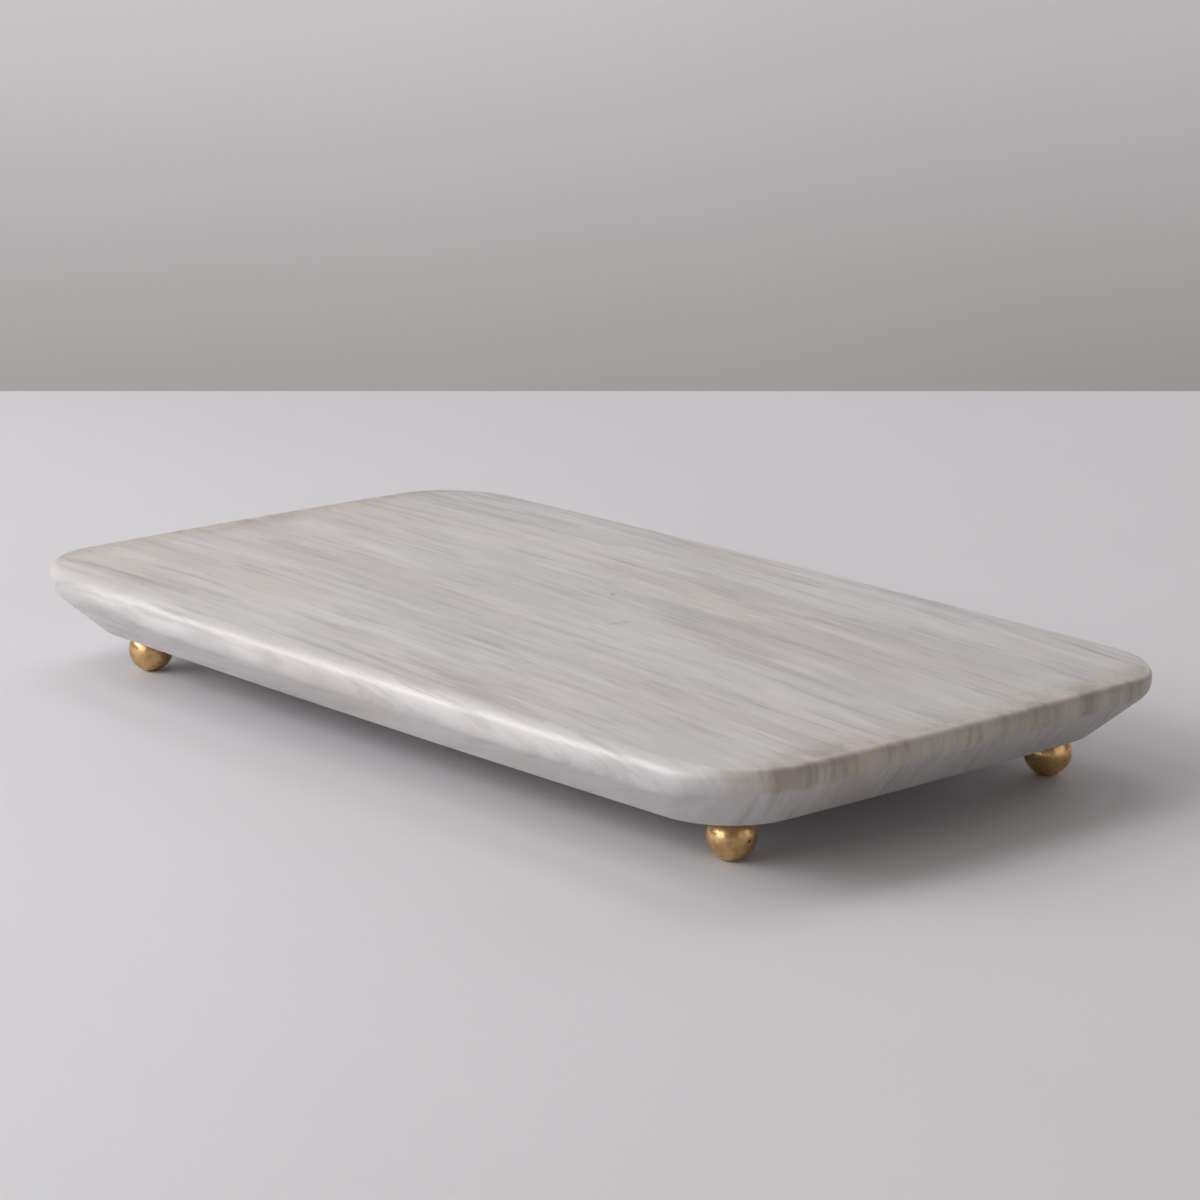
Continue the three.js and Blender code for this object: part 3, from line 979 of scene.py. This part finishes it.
class TRAY_OT_hardware(bpy.types.Operator):
    """Make the threaded studs, the knurled sleeves and the resin that hold the feet to the stone"""

    bl_idname = "tray.hardware"
    bl_label = "Studs, sleeves and resin"

    def execute(self, context):
        sizes = context.scene.tray_foot
        look = context.scene.tray_hardware
        groups = shader_groups()
        steel = steel_material(look, groups)
        brass = brass_material("Sleeve brass", context.scene.tray_brass, groups, dull=0.1)
        resin = resin_material(look, groups)
        for place in PLACES:
            axis = foot_axis(place)
            stud = piece_from_rings(f"threaded_stud_{place}", stud_rings(sizes, axis))
            settle(stud, f"stud_{place}", steel)
            sleeve = piece_from_rings(f"knurled_sleeve_{place}", sleeve_rings(sizes, axis))
            settle(sleeve, f"anchor_sleeve_{place}", brass)
            bed = piece_from_rings(f"resin_cup_{place}", turned_rings(resin_profile(), BED_AROUND, axis))
            settle(bed, f"resin_bed_{place}", resin)
        return {"FINISHED"}


def sheet(name, corners):
    """A flat four-cornered stage surface."""
    mesh = bpy.data.meshes.new(name)
    mesh.from_pydata([tuple(corner) for corner in corners], [], [(0, 1, 2, 3)])
    made = bpy.data.objects.new(name, mesh)
    bpy.context.scene.collection.objects.link(made)
    return made


# Soft lights that face the tray: name, azimuth and elevation seen from the tray in degrees, distance,
# width and height in metres, power in watts. Azimuth 0 is on the +X side and 90 on the +Y side.
LIGHTS = (
    ("Window", 234.0, 29.0, 1.6, 1.10, 0.75, 16.0),
    ("Over the window", 225.0, 62.0, 1.6, 0.90, 0.70, 3.8),
    ("Over the back", 135.0, 62.0, 1.6, 0.90, 0.70, 3.3),
    ("Side of the window", 270.0, 22.0, 1.6, 1.00, 1.30, 7.8),
    ("Bounce from the back", 97.0, 22.0, 1.5, 0.75, 0.90, 2.5),
    ("Bounce from the right", 15.0, 14.0, 1.8, 1.60, 1.00, 2.6),
)
ROOM_LIGHT = ((1.0, 0.92, 0.84), 0.20)  # colour and strength of the light from all round

CAMERA_AIM = (-3.8 * MM, 14.8 * MM)  # the point of the top face that the camera looks at
SENSOR_WIDTH = 36.0  # in mm, as the focal length is
NEAREST_SEEN = 0.05  # in metres from the camera


def area_light(name, place, width, height, power):
    """A rectangular area light that shines along its own -Z and that the camera doesn't see."""
    lamp = bpy.data.lights.new(name, "AREA")
    lamp.shape = "RECTANGLE"
    lamp.size = width
    lamp.size_y = height
    lamp.energy = power
    made = bpy.data.objects.new(name, lamp)
    made.matrix_world = place
    made.visible_camera = False
    bpy.context.scene.collection.objects.link(made)
    return made


def soft_light(name, azimuth, elevation, distance, width, height, power):
    """An area light that faces the tray, at distance x (cos a cos e, sin a cos e, sin e)."""
    a, e = math.radians(azimuth), math.radians(elevation)
    away = Vector((math.cos(a) * math.cos(e), math.sin(a) * math.cos(e), math.sin(e)))
    turn = away.to_track_quat("Z", "Y").to_matrix().to_4x4()
    return area_light(name, Matrix.Translation(away * distance) @ turn, width, height, power)


class TRAY_OT_stage(bpy.types.Operator):
    """Make the table, the wall behind it, the soft lights and the camera"""

    bl_idname = "tray.stage"
    bl_label = "Stage, lights and camera"

    def execute(self, context):
        look = context.scene.tray_stage
        groups = shader_groups()
        along = Vector((math.cos(TABLE_EDGE_TURN), math.sin(TABLE_EDGE_TURN), 0.0))
        back = Vector((-along.y, along.x, 0.0))
        up = Vector((0.0, 0.0, 1.0))

        def corner(side, depth, height=0.0):
            return along * side + back * depth + up * height

        table = sheet("table", [
            corner(-TABLE_REACH, -TABLE_REACH), corner(TABLE_REACH, -TABLE_REACH),
            corner(TABLE_REACH, TABLE_EDGE_AWAY), corner(-TABLE_REACH, TABLE_EDGE_AWAY),
        ])
        table.data.materials.append(plain_material("Table", look.table, groups, 0.6, 700.0))
        wall = sheet("wall", [
            corner(-TABLE_REACH, WALL_AWAY, WALL_FOOT), corner(TABLE_REACH, WALL_AWAY, WALL_FOOT),
            corner(TABLE_REACH, WALL_AWAY, WALL_TOP), corner(-TABLE_REACH, WALL_AWAY, WALL_TOP),
        ])
        wall.data.materials.append(wall_material(look.wall, groups))
        for light in LIGHTS:
            soft_light(*light)
        world = bpy.data.worlds.new("Room light")
        world.use_nodes = True
        background = world.node_tree.nodes["Background"].inputs
        background["Color"].default_value = rgba(ROOM_LIGHT[0])
        background["Strength"].default_value = ROOM_LIGHT[1]
        context.scene.world = world
        context.scene.view_settings.view_transform = "Standard"
        self.place_camera(context, look)
        return {"FINISHED"}

    def place_camera(self, context, look):
        """Stands the camera back from a point on the tray's top, looking at it."""
        data = bpy.data.cameras.new("Camera")
        data.lens = look.focal
        data.sensor_width = SENSOR_WIDTH
        data.clip_start = NEAREST_SEEN
        camera = bpy.data.objects.new("Camera", data)
        turn = (
            Matrix.Rotation(look.azimuth, 4, "Z")
            @ Matrix.Rotation(math.pi / 2 - look.elevation, 4, "X")
            @ Matrix.Rotation(look.roll, 4, "Z")
        )
        aim = Vector((*CAMERA_AIM, SLAB_HIGH[2]))
        camera.matrix_world = Matrix.Translation(aim) @ turn @ Matrix.Translation((0.0, 0.0, look.distance))
        context.scene.collection.objects.link(camera)
        context.scene.camera = camera


class TRAY_PT_panel(bpy.types.Panel):
    """Lists what builds the tray, in order"""

    bl_idname = "TRAY_PT_panel"
    bl_label = "Vanity tray"
    bl_space_type = "VIEW_3D"
    bl_region_type = "UI"
    bl_category = "Vanity Tray"

    def draw(self, context):
        for operator in OPERATORS:
            self.layout.operator(operator.bl_idname, text=operator.bl_label)
        for group in SETTINGS:
            box = self.layout.box()
            settings = getattr(context.scene, group)
            for name in settings.bl_rna.properties.keys():
                if name not in ("rna_type", "name"):
                    box.prop(settings, name)


OPERATORS = (TRAY_OT_slab, TRAY_OT_balls, TRAY_OT_hardware, TRAY_OT_stage)
SETTINGS = {
    "tray_slab": TraySlabSizes,
    "tray_foot": TrayFootSizes,
    "tray_marble": TrayMarbleLook,
    "tray_brass": TrayBrassLook,
    "tray_hardware": TrayHardwareLook,
    "tray_stage": TrayStageLook,
}


def register():
    """Registers the settings, the operators and the panel."""
    for name, group in SETTINGS.items():
        bpy.utils.register_class(group)
        setattr(bpy.types.Scene, name, bpy.props.PointerProperty(type=group))
    for made in (*OPERATORS, TRAY_PT_panel):
        bpy.utils.register_class(made)


def unregister():
    """Takes them away again."""
    for made in (TRAY_PT_panel, *reversed(OPERATORS)):
        bpy.utils.unregister_class(made)
    for name, group in SETTINGS.items():
        delattr(bpy.types.Scene, name)
        bpy.utils.unregister_class(group)


def main():
    """Builds everything in order."""
    register()
    for operator in OPERATORS:
        getattr(bpy.ops.tray, operator.bl_idname.split(".")[1])()


if __name__ == "__main__":
    main()
